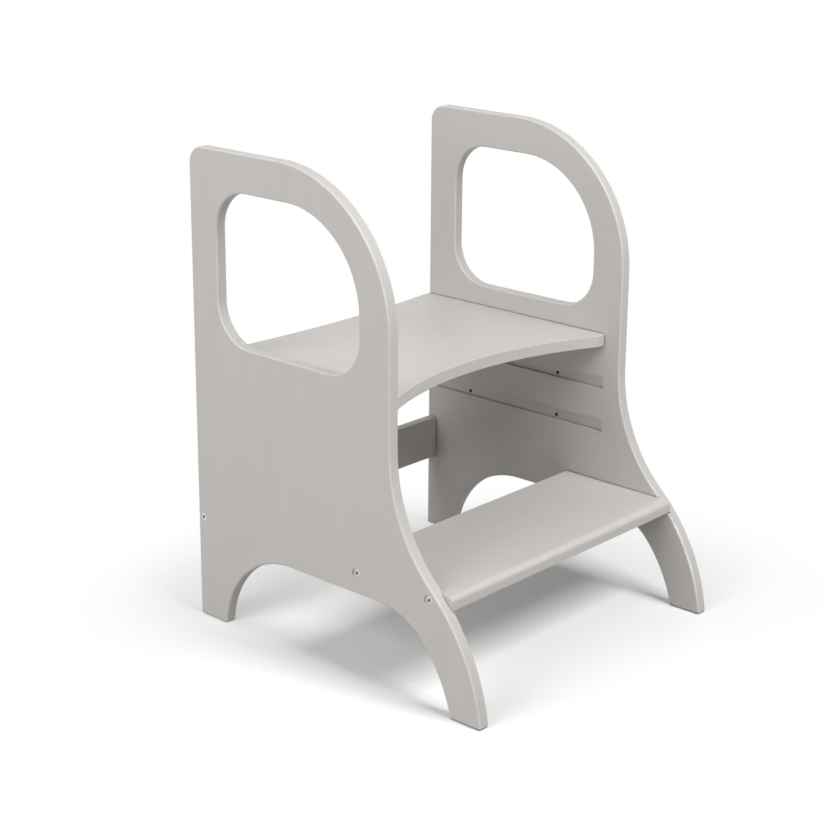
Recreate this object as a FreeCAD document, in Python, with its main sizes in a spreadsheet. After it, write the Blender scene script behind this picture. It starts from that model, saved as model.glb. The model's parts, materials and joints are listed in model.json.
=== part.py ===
import FreeCAD, Part
import math
import os
import Sketcher

# Toddler kitchen helper stool: two shaped side panels carry a standing platform, a step and a back rail.
# Frame: +Z up, the front faces -Y, X across, origin on the floor under the middle of the stool.
# Every piece is drawn in its own frame. There, the panels' back edge lies at y = 0, so a place that is
# "deep" by d (measured forwards from the back edge) has y = -d.

Vector = FreeCAD.Vector
doc = FreeCAD.newDocument("helper_stool")

# name, millimetres, meaning
DRIVING_SIZES = (
    ("overall_width", 458, "outer face to outer face of the side panels"),
    ("overall_height", 620, "floor to the top edge of the panels"),
    ("wall_depth", 336.6, "back edge to upright front edge of a panel"),
    ("panel_thickness", 16, "side panel board"),
    ("edge_round", 2.5, "rounding of the panels' edges"),
    ("foot_round", 3, "rounding of the feet's corners on the floor"),
    ("back_corner_radius", 22, "top back corner of a panel"),
    ("front_corner_radius", 182.2, "top front corner of a panel"),
    ("sweep_rise", 5.8, "step's top to the turn from the front leg to the hollow sweep"),
    ("sweep_height", 152.5, "hollow sweep, from that turn to the upright front edge"),
    ("sweep_radius", 207, "hollow front edge"),
    ("leg_radius", 244.8, "round front edge of the front leg"),
    ("back_foot_depth", 49, "back leg along the floor"),
    ("arch_web", 15.5, "wood between the arch and the tread's groove"),
    ("arch_back_radius", 121.1, "back leg's side of the arch"),
    ("arch_front_inset", 14.2, "arch's level top stops this far behind the upright front edge"),
    ("arch_front_radius", 92.9, "upper front side of the arch"),
    ("arch_turn_drop", 30.55, "arch's level top to the turn between its two front arcs"),
    ("arch_leg_radius", 184.1, "lower front side of the arch"),
    ("window_back_rim", 47.1, "panel behind the window"),
    ("window_front_rim", 48.6, "panel in front of the window"),
    ("window_top_rim", 47.9, "panel above the window"),
    ("window_sill", 27.7, "platform's top to the window's lower edge"),
    ("window_back_top_radius", 49.8, "window corner"),
    ("window_back_bottom_radius", 53.4, "window corner"),
    ("window_front_top_radius", 118.5, "window corner, follows the panel's outline"),
    ("window_front_bottom_radius", 51.2, "window corner"),
    ("groove_depth", 4, "grooves and rail recess, cut into the panels' inner faces"),
    ("groove_gap", 0.3, "play of a board over its thickness and at the groove's closed end"),
    ("end_gap", 0.15, "play between a board's end and the groove's floor"),
    ("board_round", 3, "rounding of the long edges of the rail and of the step's back"),
    ("platform_height", 350.5, "floor to the platform's top"),
    ("platform_thickness", 16, "platform board"),
    ("platform_edge_round", 1.2, "front and back edges of the platform, closed ends of its grooves"),
    ("platform_setback", 25.1, "platform's front ends behind the upright front edge"),
    ("platform_front_curve", 48, "hollow of the platform's front edge"),
    ("platform_back_curve", 13, "hollow of the platform's back edge"),
    ("platform_ear", 13, "straight part of both edges beside each panel"),
    ("level_pitch", 60, "from one platform level to the next"),
    ("level_count", 3, "platform levels, the highest in use"),
    ("tread_height", 145.5, "floor to the top of the step"),
    ("tread_thickness", 18, "step board"),
    ("tread_depth", 170, "step, front to back"),
    ("tread_overhang", 87.7, "step's front in front of the upright front edge"),
    ("nose_round", 8, "upper front edge of the step"),
    ("tread_lower_edge_round", 1, "lower front edge of the step"),
    ("rail_thickness", 16, "back rail board"),
    ("rail_width", 60, "back rail, upright"),
    ("rail_height", 107, "floor to the back rail's lower edge"),
    ("wood_screw_length", 50, "whole length of a countersunk screw"),
    ("wood_screw_head_radius", 5, "countersunk head"),
    ("wood_screw_head_rim", 0.3, "upright rim of the head"),
    ("wood_screw_neck_radius", 2.5, "plain shank in the panel"),
    ("wood_screw_core_radius", 1.7, "threaded part, drawn at its core"),
    ("wood_screw_point", 5, "length of the point"),
    ("wood_screw_sink", 2.4, "step screws: head below the panel's outer face"),
    ("rail_screw_sink", 0.2, "rail screws: head below the panel's outer face"),
    ("screw_bore_gap", 0.08, "radial play of a screw's shank or core in its bore"),
    ("screw_seat_gap", 0.05, "play under the head's cone"),
    ("sink_ring", 1.5, "bore round a step screw's head, wider than the head"),
    ("rail_sink_ring", 0.15, "bore round a rail screw's head, wider than the head"),
    ("pilot_extra", 2, "pilot bore deeper than the screw's point"),
    ("tread_screw_back_inset", 28.5, "rear screw from the step's back edge"),
    ("tread_screw_front_inset", 25.5, "front screw from the step's front edge"),
    ("tread_screw_rise", 10.9, "screws above the step's underside"),
    ("rail_screw_inset", 9.5, "rail screw from the back edge"),
    ("cross_width", 5.8, "cross recess in a screw's head, tip to tip"),
    ("cross_arm", 1.5, "width of an arm of the cross recess"),
    ("cross_depth", 1.8, "depth of the cross recess"),
    ("cross_turn", 45, "degrees from level to an arm of the cross recess"),
    ("bolt_hole_radius", 2.5, "blind holes in the grooves"),
    ("bolt_hole_depth", 8, "blind holes, from the groove's floor"),
    ("bolt_rise", 5.3, "connecting bolts above the platform's underside"),
    ("bolt_back_inset", 77, "rear bolts from the platform's back edge"),
    ("bolt_front_inset", 79.5, "front bolts from the platform's front ends"),
    ("bolt_fit", 0.08, "radial play of the bolt in its blind hole and in the platform's end bore"),
    ("bolt_thread_length", 7.6, "part in the panel"),
    ("bolt_shank_radius", 3.4, "part in the platform's end bore"),
    ("bolt_shank_length", 14, "part in the platform's end bore"),
    ("bolt_neck_radius", 1.6, "part that the cam's slot straddles"),
    ("bolt_head_radius", 2.9, "head that the cam pulls on"),
    ("bolt_head_length", 2.4, "head that the cam pulls on"),
    ("bolt_head_stop", 0.2, "head's end short of the cam's axis"),
    ("bolt_edge", 0.4, "chamfer at the bolt's tip"),
    ("bolt_cross_width", 3.4, "cross recess in the bolt's head, tip to tip"),
    ("bolt_cross_arm", 0.9, "width of an arm of that recess"),
    ("bolt_cross_depth", 1.2, "depth of that recess"),
    ("cam_inset", 24, "cam's axis from the groove's floor"),
    ("cam_bore_radius", 6, "cam's bore in the platform's underside"),
    ("cam_bore_depth", 10, "cam's bore in the platform's underside"),
    ("cam_fit", 0.05, "radial play of a cam in its bore"),
    ("cam_height", 9.5, "cam"),
    ("cam_recess", 0.2, "cam's lower face above the platform's underside"),
    ("cam_edge", 0.4, "chamfer of the cam's lower edge"),
    ("cam_cavity_radius", 4.2, "room for the bolt's head inside the cam"),
    ("cam_cavity_height", 6.4, "room for the bolt's head inside the cam"),
    ("cam_slot_height", 3.8, "slot that passes the bolt's neck"),
    ("cam_slot_lead", 32, "degrees of slot before the locked position"),
    ("cam_turn", 190, "degrees from locked to open"),
    ("cam_entry_half_angle", 50, "degrees, half of the opening that lets the bolt's head in"),
    ("cam_cross_width", 7, "cross recess in the cam's lower face, tip to tip"),
    ("cam_cross_arm", 1.6, "width of an arm of that recess"),
    ("cam_cross_depth", 1.2, "depth of that recess"),
)

# name, formula, meaning
DERIVED_SIZES = (
    ("panel_inner", "Sizes.overall_width / 2 - Sizes.panel_thickness", "x of a panel's inner face"),
    ("groove_floor", "panel_inner + Sizes.groove_depth", "x of the floor of a groove"),
    ("board_half_length", "groove_floor - Sizes.end_gap", "x of a board's end"),
    ("board_length", "2 * board_half_length", "platform, tread and rail, end to end"),
    ("curve_half_width", "panel_inner - Sizes.platform_ear", "x where the platform's curves end"),
    ("platform_bottom", "Sizes.platform_height - Sizes.platform_thickness", "floor to its underside"),
    ("platform_front", "Sizes.wall_depth - Sizes.platform_setback", "depth of its front ends"),
    ("platform_groove_front", "platform_front + Sizes.groove_gap", "depth of the groove's closed end"),
    ("platform_groove_top", "Sizes.platform_height + Sizes.groove_gap", "floor to the groove's top"),
    ("level_span", "Sizes.level_pitch * (Sizes.level_count - 1)", "highest to lowest level"),
    ("platform_front_radius", "(curve_half_width ^ 2 + Sizes.platform_front_curve ^ 2)"
                              " / (2 * Sizes.platform_front_curve)", "front edge"),
    ("platform_back_radius", "(curve_half_width ^ 2 + Sizes.platform_back_curve ^ 2)"
                             " / (2 * Sizes.platform_back_curve)", "back edge"),
    ("bolt_front_depth", "platform_front - Sizes.bolt_front_inset", "depth of the front bolts"),
    ("bolt_height", "platform_bottom + Sizes.bolt_rise", "floor to the bolts' axes"),
    ("bolt_pocket_depth", "Sizes.groove_depth + Sizes.bolt_hole_depth", "blind hole from the inner face"),
    ("bolt_thread_radius", "Sizes.bolt_hole_radius - Sizes.bolt_fit", "bolt in its blind hole"),
    ("bolt_bore_radius", "Sizes.bolt_shank_radius + Sizes.bolt_fit", "platform's end bore"),
    ("bolt_bore_depth", "Sizes.cam_inset - Sizes.end_gap", "end bore, from the platform's end"),
    ("bolt_head_end", "Sizes.cam_inset - Sizes.bolt_head_stop", "head's end from the groove's floor"),
    ("bolt_head_start", "bolt_head_end - Sizes.bolt_head_length", "head's shoulder, likewise"),
    ("cam_x", "groove_floor - Sizes.cam_inset", "x of a cam's axis"),
    ("cam_radius", "Sizes.cam_bore_radius - Sizes.cam_fit", "cam"),
    ("cam_axis_rise", "Sizes.bolt_rise - Sizes.cam_recess", "bolt's axis above the cam's lower face"),
    ("cam_cavity_bottom", "cam_axis_rise - Sizes.cam_cavity_height / 2", "above the cam's lower face"),
    ("cam_slot_bottom", "cam_axis_rise - Sizes.cam_slot_height / 2", "above the cam's lower face"),
    ("cam_bottom", "platform_bottom + Sizes.cam_recess", "floor to the cam's lower face"),
    ("tread_bottom", "Sizes.tread_height - Sizes.tread_thickness", "floor to its underside"),
    ("tread_front", "Sizes.wall_depth + Sizes.tread_overhang", "depth of its front"),
    ("tread_back", "tread_front - Sizes.tread_depth", "depth of its back edge"),
    ("tread_groove_back", "tread_back - Sizes.groove_gap", "depth of the groove's closed end"),
    ("tread_groove_top", "Sizes.tread_height + Sizes.groove_gap", "floor to the groove's top"),
    ("tread_screw_back_depth", "tread_back + Sizes.tread_screw_back_inset", "rear screw"),
    ("tread_screw_front_depth", "tread_front - Sizes.tread_screw_front_inset", "front screw"),
    ("tread_screw_height", "tread_bottom + Sizes.tread_screw_rise", "floor to the step screws"),
    ("rail_recess_front", "Sizes.rail_thickness + Sizes.groove_gap", "depth of the recess"),
    ("rail_recess_top", "Sizes.rail_height + Sizes.rail_width + Sizes.groove_gap", "floor to its top"),
    ("rail_screw_rise", "Sizes.rail_width / 2", "rail screw above the rail's lower edge"),
    ("rail_screw_height", "Sizes.rail_height + rail_screw_rise", "floor to the rail screws"),
    ("sweep_end_height", "Sizes.tread_height + Sizes.sweep_rise", "floor to the sweep's lower end"),
    ("sweep_start_height", "sweep_end_height + Sizes.sweep_height", "floor to the upright front edge"),
    ("arch_top", "tread_bottom - Sizes.arch_web", "floor to the arch's level top"),
    ("arch_turn_height", "arch_top - Sizes.arch_turn_drop", "floor to the turn in the arch's front side"),
    ("arch_front_start", "Sizes.wall_depth - Sizes.arch_front_inset", "depth where the arch turns down"),
    ("window_front", "Sizes.wall_depth - Sizes.window_front_rim", "depth of the window's front edge"),
    ("window_top", "Sizes.overall_height - Sizes.window_top_rim", "floor to the window's upper edge"),
    ("window_bottom", "Sizes.platform_height + Sizes.window_sill", "floor to the window's lower edge"),
    # The corners shrink together where the opening is too small for them.
    ("window_fit_upright", "(window_top - window_bottom - 2 * Sizes.edge_round)"
                           " / (Sizes.window_front_top_radius + Sizes.window_front_bottom_radius)",
     "room over the front corners' radii"),
    ("window_fit_level", "(window_front - Sizes.window_back_rim - 2 * Sizes.edge_round)"
                         " / (Sizes.window_front_top_radius + Sizes.window_back_top_radius)",
     "room over the upper corners' radii"),
    ("window_scale", "min(1; window_fit_upright; window_fit_level)", "share of the named radii in use"),
    ("window_back_top", "window_scale * Sizes.window_back_top_radius", "radius in use"),
    ("window_back_bottom", "window_scale * Sizes.window_back_bottom_radius", "radius in use"),
    ("window_front_top", "window_scale * Sizes.window_front_top_radius", "radius in use"),
    ("window_front_bottom", "window_scale * Sizes.window_front_bottom_radius", "radius in use"),
    ("screw_bore_radius", "Sizes.wood_screw_neck_radius + Sizes.screw_bore_gap", "bore in the panel"),
    ("pilot_radius", "Sizes.wood_screw_core_radius + Sizes.screw_bore_gap", "bore in a board's end"),
    ("screw_cone_end", "Sizes.wood_screw_head_rim + Sizes.wood_screw_head_radius"
                       " - Sizes.wood_screw_neck_radius", "head's top to the end of its cone"),
    ("screw_neck_end", "Sizes.panel_thickness - Sizes.groove_depth - Sizes.wood_screw_sink",
     "head's top to the groove's floor"),
    ("screw_core_end", "Sizes.wood_screw_length - Sizes.wood_screw_point", "head's top to the point"),
    ("pilot_depth", "Sizes.wood_screw_length - screw_neck_end + Sizes.pilot_extra", "from a board's end"),
    ("sink_radius", "Sizes.wood_screw_head_radius + Sizes.sink_ring", "bore round a step screw's head"),
    ("rail_sink_radius", "Sizes.wood_screw_head_radius + Sizes.rail_sink_ring", "round a rail screw's head"),
    # The seat is a right-angled cone, so it starts above the head's rim by as much as it is wider.
    ("sink_depth", "Sizes.wood_screw_sink + Sizes.wood_screw_head_rim + Sizes.screw_seat_gap"
                   " - Sizes.sink_ring", "upright part of the sink"),
    ("rail_sink_depth", "Sizes.rail_screw_sink + Sizes.wood_screw_head_rim + Sizes.screw_seat_gap"
                        " - Sizes.rail_sink_ring", "upright part of the sink"),
)


def make_sheet(name, rows, prefix=""):
    """A sheet with one named cell to a row: name, number or formula, meaning."""
    sheet = doc.addObject("Spreadsheet::Sheet", name)
    for row, (alias, content, meaning) in enumerate(rows, start=1):
        sheet.set(f"A{row}", alias)
        sheet.set(f"B{row}", prefix + str(content))
        sheet.setAlias(f"B{row}", alias)
        sheet.set(f"C{row}", meaning)
    doc.recompute()
    return sheet


sizes = make_sheet("Sizes", DRIVING_SIZES)
derived = make_sheet("Derived", DERIVED_SIZES, prefix="=")

ORIGIN_POINT = (-1, 1)
FULL_TURN = 360
RIGHT_ANGLE = 90
HALF_TURN = 180


# ---------------------------------------------------------------- bodies and sketches

def new_body(name):
    body = doc.addObject("PartDesign::Body", name)
    body.Label = name
    return body


def new_sketch(body, name, role, offset=None):
    """A sketch on one of the body's own origin planes, raised from it by a formula if one is given."""
    plane = next(feature for feature in body.Origin.OriginFeatures if feature.Role == role)
    sketch = body.newObject("Sketcher::SketchObject", name)
    sketch.AttachmentSupport = [(plane, "")]
    sketch.MapMode = "FlatFace"
    if offset:
        sketch.setExpression("AttachmentOffset.Base.z", offset)
    return sketch


def dimension(sketch, kind, first, second, formula):
    """Holds the distance from the first point to the second, along X or Y, at a formula's value."""
    value = sketch.evalExpression(formula)
    number = sketch.addConstraint(Sketcher.Constraint(kind, *first, *second, float(value)))
    sketch.setExpression(f"Constraints[{number}]", formula)


def left_by(sketch, point, formula):
    """Places a point to the left of the sketch's origin. In a sketch from the side, that is its depth."""
    dimension(sketch, "DistanceX", point, ORIGIN_POINT, formula)


def right_by(sketch, point, formula):
    dimension(sketch, "DistanceX", ORIGIN_POINT, point, formula)


def up_by(sketch, point, formula):
    dimension(sketch, "DistanceY", ORIGIN_POINT, point, formula)


def down_by(sketch, point, formula):
    """Places a point below the sketch's origin. In a sketch from above, that is its depth."""
    dimension(sketch, "DistanceY", point, ORIGIN_POINT, formula)


def with_radius(sketch, curve, formula):
    value = sketch.evalExpression(formula)
    number = sketch.addConstraint(Sketcher.Constraint("Radius", curve, float(value)))
    sketch.setExpression(f"Constraints[{number}]", formula)


def straight(sketch, curve, direction):
    sketch.addConstraint(Sketcher.Constraint(direction, curve))


class Outline:
    """A closed run of lines and arcs, each tied to the end of the one before it."""

    def __init__(self, sketch, start):
        self.sketch = sketch
        self.point = Vector(*start)
        self.first = None
        self.last = None

    def add(self, curve, start, end, smooth):
        geometry = self.sketch.addGeometry(curve, False)
        if self.last is None:
            self.first = (geometry, start)
        else:
            self.tie(self.last, (geometry, start), smooth)
        self.last = (geometry, end)
        return geometry

    def tie(self, one, other, smooth):
        kind = "Tangent" if smooth else "Coincident"
        self.sketch.addConstraint(Sketcher.Constraint(kind, *one, *other))

    def line(self, end, smooth=False):
        end = Vector(*end)
        curve = Part.LineSegment(self.point, end)
        self.point = end
        return self.add(curve, 1, 2, smooth)

    def arc(self, centre, end, leftwards=True, smooth=True):
        """An arc to the end point, turning left or right round the centre."""
        centre = Vector(*centre)
        end = Vector(*end)
        circle = Part.Circle(centre, Vector(0, 0, 1), self.point.distanceToPoint(centre))
        here = circle.parameter(self.point)
        there = circle.parameter(end)
        self.point = end
        if leftwards:
            return self.add(Part.ArcOfCircle(circle, here, there), 1, 2, smooth)
        return self.add(Part.ArcOfCircle(circle, there, here), 2, 1, smooth)

    def close(self, smooth=False):
        self.tie(self.last, self.first, smooth)


def rounded_box(sketch, low, high, round_corners, radius=None, corner_formula=None):
    """A rectangle from the low to the high corner. The corners named in round_corners are arcs.

    The corners are numbered 0 to 3 from the low corner, leftwards. Returns the four lines, lower one first.
    """
    (left, bottom), (right, top) = low, high
    corners = [Vector(left, bottom), Vector(right, bottom), Vector(right, top), Vector(left, top)]
    along = [Vector(1, 0), Vector(0, 1), Vector(-1, 0), Vector(0, -1)]
    inset = [radius if number in round_corners else 0 for number in range(4)]
    outline = Outline(sketch, corners[0] + along[0] * inset[0])
    lines = []
    arcs = []
    for number in range(4):
        following = (number + 1) % 4
        end = corners[following] - along[number] * inset[following]
        lines.append(outline.line(end, smooth=number in round_corners and number > 0))
        if following in round_corners:
            past = corners[following] + along[following] * inset[following]
            centre = end + along[following] * inset[following]
            arcs.append(outline.arc(centre, past))
    outline.close(smooth=0 in round_corners)
    for number, line in enumerate(lines):
        straight(sketch, line, "Vertical" if number % 2 else "Horizontal")
    for arc in arcs:
        with_radius(sketch, arc, corner_formula)
    return lines


def centred_circle(sketch, radius_formula):
    radius = float(sketch.evalExpression(radius_formula))
    circle = sketch.addGeometry(Part.Circle(Vector(0, 0), Vector(0, 0, 1), radius), False)
    sketch.addConstraint(Sketcher.Constraint("Coincident", circle, 3, *ORIGIN_POINT))
    with_radius(sketch, circle, radius_formula)


def centred_bar(sketch, length_formula, width_formula):
    """A rectangle centred on the sketch's origin, long in X."""
    length = float(sketch.evalExpression(length_formula))
    width = float(sketch.evalExpression(width_formula))
    lines = rounded_box(sketch, (-length / 2, -width / 2), (length / 2, width / 2), ())
    right_by(sketch, (lines[1], 1), length_formula + " / 2")
    left_by(sketch, (lines[3], 1), length_formula + " / 2")
    up_by(sketch, (lines[2], 1), width_formula + " / 2")
    down_by(sketch, (lines[0], 1), width_formula + " / 2")


# ---------------------------------------------------------------- features

def add_pad(body, sketch, length, symmetric=False):
    pad = body.newObject("PartDesign::Pad", sketch.Name + "_pad")
    pad.Profile = sketch
    pad.SideType = "Symmetric" if symmetric else "One side"
    pad.setExpression("Length", length)
    doc.recompute()


def check_removed(feature, volume_before):
    """Stops the build if a cut took nothing away."""
    doc.recompute()
    if not feature.Shape.Volume < volume_before:
        raise RuntimeError(feature.Name + " cuts nothing")


def add_pocket(body, sketch, depth, forwards):
    """Cuts along the sketch's normal if forwards is true, or against it."""
    before = body.Shape.Volume
    pocket = body.newObject("PartDesign::Pocket", sketch.Name + "_cut")
    pocket.Profile = sketch
    pocket.Reversed = forwards
    pocket.setExpression("Length", depth)
    check_removed(pocket, before)
    return pocket


def add_revolution(body, sketch, axis):
    revolution = body.newObject("PartDesign::Revolution", sketch.Name + "_turned")
    revolution.Profile = sketch
    revolution.ReferenceAxis = (sketch, [axis])
    revolution.Angle = FULL_TURN
    doc.recompute()


def add_rounding(body, name, radius, chosen, kind="PartDesign::Fillet"):
    """Rounds, or chamfers, the edges of the body's tip that chosen accepts."""
    base = body.Tip
    edges = [f"Edge{number}" for number, edge in enumerate(base.Shape.Edges, start=1) if chosen(edge)]
    if not edges:
        raise RuntimeError(name + " finds no edge")
    feature = body.newObject(kind, name)
    feature.Base = (base, edges)
    feature.setExpression("Radius" if kind.endswith("Fillet") else "Size", radius)
    doc.recompute()


def add_screw_holes(body, sketch, cut_radius, cut_depth, forwards):
    """Bores for countersunk screws, through the board."""
    before = body.Shape.Volume
    hole = body.newObject("PartDesign::Hole", sketch.Name + "_bores")
    hole.Profile = sketch
    doc.recompute()
    hole.Reversed = forwards
    hole.DepthType = "ThroughAll"
    hole.HoleCutType = "Counterdrill"
    hole.HoleCutCustomValues = True
    hole.setExpression("Diameter", "2 * Derived.screw_bore_radius")
    hole.setExpression("HoleCutDiameter", "2 * " + cut_radius)
    hole.setExpression("HoleCutDepth", cut_depth)
    hole.HoleCutCountersinkAngle = RIGHT_ANGLE
    check_removed(hole, before)


def add_cross_recess(body, sketch, depth):
    """Cuts the sketch's bar into the body, and once more a right angle round."""
    bar = add_pocket(body, sketch, depth, forwards=True)
    before = body.Shape.Volume
    cross = body.newObject("PartDesign::PolarPattern", sketch.Name + "_cross")
    cross.Originals = [bar]
    cross.Axis = (sketch, ["N_Axis"])
    cross.Angle = RIGHT_ANGLE
    cross.Occurrences = 2
    body.Tip = cross
    check_removed(cross, before)


def circles(sketch, places, radius):
    """Circles at (depth, height) formulas in a side-on sketch."""
    for depth, height in places:
        centre = Vector(-float(sketch.evalExpression(depth)), float(sketch.evalExpression(height)))
        circle = Part.Circle(centre, Vector(0, 0, 1), float(sketch.evalExpression(radius)))
        number = sketch.addGeometry(circle, False)
        left_by(sketch, (number, 3), depth)
        up_by(sketch, (number, 3), height)
        with_radius(sketch, number, radius)


def near(value, target, tolerance=0.01):
    return abs(value - target) < tolerance


def runs_along_x(edge):
    box = edge.BoundBox
    return near(box.YLength, 0) and near(box.ZLength, 0)


# ---------------------------------------------------------------- side panels

def draw_panel_outline(sketch):
    """Outline of a side panel, from its back foot up, over the top and down the front leg, then the arch."""
    height = sizes.overall_height
    wall = sizes.wall_depth
    back_round = sizes.back_corner_radius
    front_round = sizes.front_corner_radius
    foot = sizes.back_foot_depth

    # Each arc's centre follows from the arc before it, because the outline has no corner there.
    sweep_centre = (-(wall + sizes.sweep_radius), derived.sweep_start_height)
    sweep_reach = math.sqrt(sizes.sweep_radius ** 2 - sizes.sweep_height ** 2)
    sweep_end = (sweep_centre[0] + sweep_reach, derived.sweep_end_height)
    leg_share = sizes.leg_radius / sizes.sweep_radius
    leg_centre = (sweep_end[0] + sweep_reach * leg_share, sweep_end[1] - sizes.sweep_height * leg_share)
    toe = (leg_centre[0] - math.sqrt(sizes.leg_radius ** 2 - leg_centre[1] ** 2), 0)

    arch_front_centre = (-derived.arch_front_start, derived.arch_top - sizes.arch_front_radius)
    turn_rise = derived.arch_turn_height - arch_front_centre[1]
    turn_reach = math.sqrt(sizes.arch_front_radius ** 2 - turn_rise ** 2)
    arch_turn = (arch_front_centre[0] - turn_reach, derived.arch_turn_height)
    inner_share = sizes.arch_leg_radius / sizes.arch_front_radius
    inner_centre = (arch_turn[0] + turn_reach * inner_share, arch_turn[1] - turn_rise * inner_share)
    heel = (inner_centre[0] - math.sqrt(sizes.arch_leg_radius ** 2 - inner_centre[1] ** 2), 0)

    back_centre_height = derived.arch_top - sizes.arch_back_radius
    back_reach = math.sqrt(sizes.arch_back_radius ** 2 - back_centre_height ** 2)
    arch_back_centre = (-(foot + back_reach), back_centre_height)

    outline = Outline(sketch, (0, 0))
    back_edge = outline.line((0, height - back_round))
    back_corner = outline.arc((-back_round, height - back_round), (-back_round, height))
    top_edge = outline.line((-(wall - front_round), height), smooth=True)
    front_corner = outline.arc((-(wall - front_round), height - front_round), (-wall, height - front_round))
    front_edge = outline.line((-wall, derived.sweep_start_height), smooth=True)
    sweep = outline.arc(sweep_centre, sweep_end, leftwards=False)
    leg = outline.arc(leg_centre, toe)
    front_sole = outline.line(heel)
    arch_leg = outline.arc(inner_centre, arch_turn, leftwards=False, smooth=False)
    arch_front = outline.arc(arch_front_centre, (arch_front_centre[0], derived.arch_top), leftwards=False)
    arch_level = outline.line((arch_back_centre[0], derived.arch_top), smooth=True)
    arch_back = outline.arc(arch_back_centre, (-foot, 0), leftwards=False)
    back_sole = outline.line((0, 0))
    outline.close()

    for upright in (back_edge, front_edge):
        straight(sketch, upright, "Vertical")
    for level in (top_edge, front_sole, arch_level, back_sole):
        straight(sketch, level, "Horizontal")
    sketch.addConstraint(Sketcher.Constraint("Coincident", back_edge, 1, *ORIGIN_POINT))
    sketch.addConstraint(Sketcher.Constraint("PointOnObject", front_sole, 1, -1))
    with_radius(sketch, back_corner, "Sizes.back_corner_radius")
    with_radius(sketch, front_corner, "Sizes.front_corner_radius")
    with_radius(sketch, sweep, "Sizes.sweep_radius")
    with_radius(sketch, leg, "Sizes.leg_radius")
    with_radius(sketch, arch_leg, "Sizes.arch_leg_radius")
    with_radius(sketch, arch_front, "Sizes.arch_front_radius")
    with_radius(sketch, arch_back, "Sizes.arch_back_radius")
    up_by(sketch, (top_edge, 1), "Sizes.overall_height")
    left_by(sketch, (front_edge, 1), "Sizes.wall_depth")
    up_by(sketch, (front_edge, 2), "Derived.sweep_start_height")
    up_by(sketch, (leg, 1), "Derived.sweep_end_height")
    up_by(sketch, (arch_level, 1), "Derived.arch_top")
    left_by(sketch, (arch_level, 1), "Derived.arch_front_start")
    up_by(sketch, (arch_leg, 1), "Derived.arch_turn_height")
    left_by(sketch, (back_sole, 1), "Sizes.back_foot_depth")


def draw_window(sketch):
    """The opening in a side panel, with four round corners of its own."""
    back = sizes.window_back_rim
    front = derived.window_front
    top = derived.window_top
    bottom = derived.window_bottom
    back_top = derived.window_back_top
    back_bottom = derived.window_back_bottom
    front_top = derived.window_front_top
    front_bottom = derived.window_front_bottom

    outline = Outline(sketch, (-back, bottom + back_bottom))
    back_edge = outline.line((-back, top - back_top))
    corner_a = outline.arc((-(back + back_top), top - back_top), (-(back + back_top), top))
    top_edge = outline.line((-(front - front_top), top), smooth=True)
    corner_b = outline.arc((-(front - front_top), top - front_top), (-front, top - front_top))
    front_edge = outline.line((-front, bottom + front_bottom), smooth=True)
    turn_depth = front - front_bottom
    corner_c = outline.arc((-turn_depth, bottom + front_bottom), (-turn_depth, bottom))
    bottom_edge = outline.line((-(back + back_bottom), bottom), smooth=True)
    corner_d = outline.arc((-(back + back_bottom), bottom + back_bottom), (-back, bottom + back_bottom))
    outline.close(smooth=True)

    for upright in (back_edge, front_edge):
        straight(sketch, upright, "Vertical")
    for level in (top_edge, bottom_edge):
        straight(sketch, level, "Horizontal")
    left_by(sketch, (back_edge, 1), "Sizes.window_back_rim")
    left_by(sketch, (front_edge, 1), "Derived.window_front")
    up_by(sketch, (top_edge, 1), "Derived.window_top")
    up_by(sketch, (bottom_edge, 1), "Derived.window_bottom")
    with_radius(sketch, corner_a, "Derived.window_back_top")
    with_radius(sketch, corner_b, "Derived.window_front_top")
    with_radius(sketch, corner_c, "Derived.window_front_bottom")
    with_radius(sketch, corner_d, "Derived.window_back_bottom")


def draw_platform_groove(sketch):
    """A groove that runs out through the panel's back edge and has a round closed end in front."""
    low = (-derived.platform_groove_front, derived.platform_bottom)
    high = (sizes.panel_thickness, derived.platform_groove_top)
    lines = rounded_box(sketch, low, high, (0, 3), sizes.platform_edge_round, "Sizes.platform_edge_round")
    left_by(sketch, (lines[3], 1), "Derived.platform_groove_front")
    up_by(sketch, (lines[0], 1), "Derived.platform_bottom")
    up_by(sketch, (lines[2], 1), "Derived.platform_groove_top")
    right_by(sketch, (lines[1], 1), "Sizes.panel_thickness")


def draw_tread_groove(sketch):
    """A groove that runs out through the panel's front edge and has a round closed end behind."""
    past_front = derived.tread_front + sizes.panel_thickness
    low = (-past_front, derived.tread_bottom)
    high = (-derived.tread_groove_back, derived.tread_groove_top)
    lines = rounded_box(sketch, low, high, (1, 2), sizes.board_round, "Sizes.board_round")
    left_by(sketch, (lines[3], 1), "Derived.tread_front + Sizes.panel_thickness")
    up_by(sketch, (lines[0], 1), "Derived.tread_bottom")
    up_by(sketch, (lines[2], 1), "Derived.tread_groove_top")
    left_by(sketch, (lines[1], 1), "Derived.tread_groove_back")


def draw_rail_recess(sketch):
    """A recess that is open at the panel's back edge and takes the rounded end of the rail."""
    low = (-derived.rail_recess_front, sizes.rail_height)
    high = (sizes.panel_thickness, derived.rail_recess_top)
    lines = rounded_box(sketch, low, high, (0, 3), sizes.board_round, "Sizes.board_round")
    left_by(sketch, (lines[3], 1), "Derived.rail_recess_front")
    up_by(sketch, (lines[0], 1), "Sizes.rail_height")
    up_by(sketch, (lines[2], 1), "Derived.rail_recess_top")
    right_by(sketch, (lines[1], 1), "Sizes.panel_thickness")


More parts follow.
